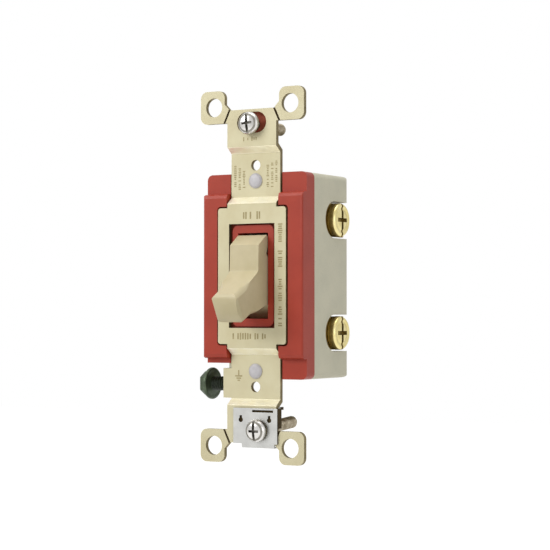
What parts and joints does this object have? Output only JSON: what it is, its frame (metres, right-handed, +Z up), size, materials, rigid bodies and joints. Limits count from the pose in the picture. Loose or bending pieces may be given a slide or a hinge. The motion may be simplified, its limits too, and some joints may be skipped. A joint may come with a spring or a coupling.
{
  "type": "toggle wall switch",
  "caption": "Toggle light switch on a plated steel strap: red cover and grey base riveted behind it, side terminal screws, grounding screw and clip, lever that rocks a contact arm.",
  "frame": {"origin": "middle of the front face of the mounting strap, at the centre of the four ear holes", "axes": "+X to the right seen from the room, +Y back into the wall, +Z up"},
  "size_m": [0.0359, 0.0404, 0.1016],
  "materials": {
    "brass_plated_steel": "satin plated",
    "red_thermoset": "moulded, semi-matt",
    "grey_thermoset": "moulded, semi-matt",
    "ivory_nylon": "moulded, soft gloss",
    "zinc_steel": "bright zinc plate",
    "rivet_steel": "bright zinc plate",
    "brass": "turned and stamped",
    "green_steel": "green dyed zinc plate",
    "clip_steel": "bright spring steel",
    "spring_steel": "drawn wire",
    "contact_silver": "cold headed silver alloy",
    "copper_alloy": "rolled strip",
    "acetal": "moulded",
    "red_fibre": "punched vulcanised fibre"
  },
  "bodies": {
    "housing": {"yoke_strap": "brass_plated_steel", "front_cover": "red_thermoset", "rear_base": "grey_thermoset", "rivet_upper": "rivet_steel", "rivet_lower": "rivet_steel", "rocker_pin": "spring_steel", "fixed_contact": "contact_silver", "line_terminal": "brass", "load_terminal": "brass", "grounding_clip": "clip_steel"},
    "toggle": {"toggle_lever": "ivory_nylon", "main_spring": "spring_steel"},
    "plunger": {"spring_plunger": "acetal"},
    "rocker": {"rocker_arm": "copper_alloy", "moving_contact": "contact_silver"},
    "clamp_upper": {"clamp_plate_upper": "brass"},
    "line_screw": {"terminal_screw_upper": "brass"},
    "clamp_lower": {"clamp_plate_lower": "brass"},
    "load_screw": {"terminal_screw_lower": "brass"},
    "earth_screw": {"ground_screw": "green_steel"},
    "washer_upper": {"retaining_washer_upper": "red_fibre"},
    "box_screw_top": {"mounting_screw_upper": "zinc_steel"},
    "washer_lower": {"retaining_washer_lower": "red_fibre"},
    "box_screw_bottom": {"mounting_screw_lower": "zinc_steel"}
  },
  "joints": [
    {"name": "toggle_throw", "type": "hinge", "parent": "housing", "child": "toggle", "pos_m": [0, 0.0045, 0], "axis": [-1, 0, 0], "range_deg": [0, 57]},
    {"name": "plunger_slide", "type": "slide", "parent": "toggle", "child": "plunger", "axis": [0, 0.8788, 0.4772], "range_m": [-0.0012, 0], "stiffness_N_per_m": 600, "springref_m": 0.0005, "deforming": ["main_spring"]},
    {"name": "rocker_tilt", "type": "hinge", "parent": "housing", "child": "rocker", "pos_m": [0, 0.018, 0], "axis": [1, 0, 0], "range_deg": [0, 12]},
    {"name": "clamp_upper_travel", "type": "slide", "parent": "housing", "child": "clamp_upper", "axis": [-1, 0, 0], "range_m": [0, 0.0026]},
    {"name": "line_screw_turn", "type": "hinge", "parent": "clamp_upper", "child": "line_screw", "pos_m": [0.014, 0.0206, 0.0156], "axis": [-1, 0, 0], "range_deg": [0, 1180]},
    {"name": "clamp_lower_travel", "type": "slide", "parent": "housing", "child": "clamp_lower", "axis": [-1, 0, 0], "range_m": [0, 0.0026]},
    {"name": "load_screw_turn", "type": "hinge", "parent": "clamp_lower", "child": "load_screw", "pos_m": [0.014, 0.0206, -0.0156], "axis": [-1, 0, 0], "range_deg": [0, 1180]},
    {"name": "earth_screw_travel", "type": "slide", "parent": "housing", "child": "earth_screw", "axis": [1, 0, 0], "range_m": [0, 0.0055]},
    {"name": "washer_upper_shift", "type": "slide", "parent": "housing", "child": "washer_upper", "axis": [1, 0, 0], "range_m": [-0.002, 0.0024]},
    {"name": "box_screw_top_travel", "type": "slide", "parent": "washer_upper", "child": "box_screw_top", "axis": [-0.0698, 0.9976, 0], "range_m": [-0.004, 0.0009]},
    {"name": "washer_lower_shift", "type": "slide", "parent": "housing", "child": "washer_lower", "axis": [1, 0, 0], "range_m": [-0.0008, 0.0006]},
    {"name": "box_screw_bottom_travel", "type": "slide", "parent": "washer_lower", "child": "box_screw_bottom", "axis": [0, 0.9976, 0.0698], "range_m": [-0.004, 0.00025]}
  ],
  "couplings": [
    {"joint": "rocker_tilt", "follows": "toggle_throw", "ratio": 0.21053},
    {"joint": "line_screw_turn", "follows": "clamp_upper_travel", "rad_per_m": 7915.8},
    {"joint": "load_screw_turn", "follows": "clamp_lower_travel", "rad_per_m": 7915.8}
  ]
}
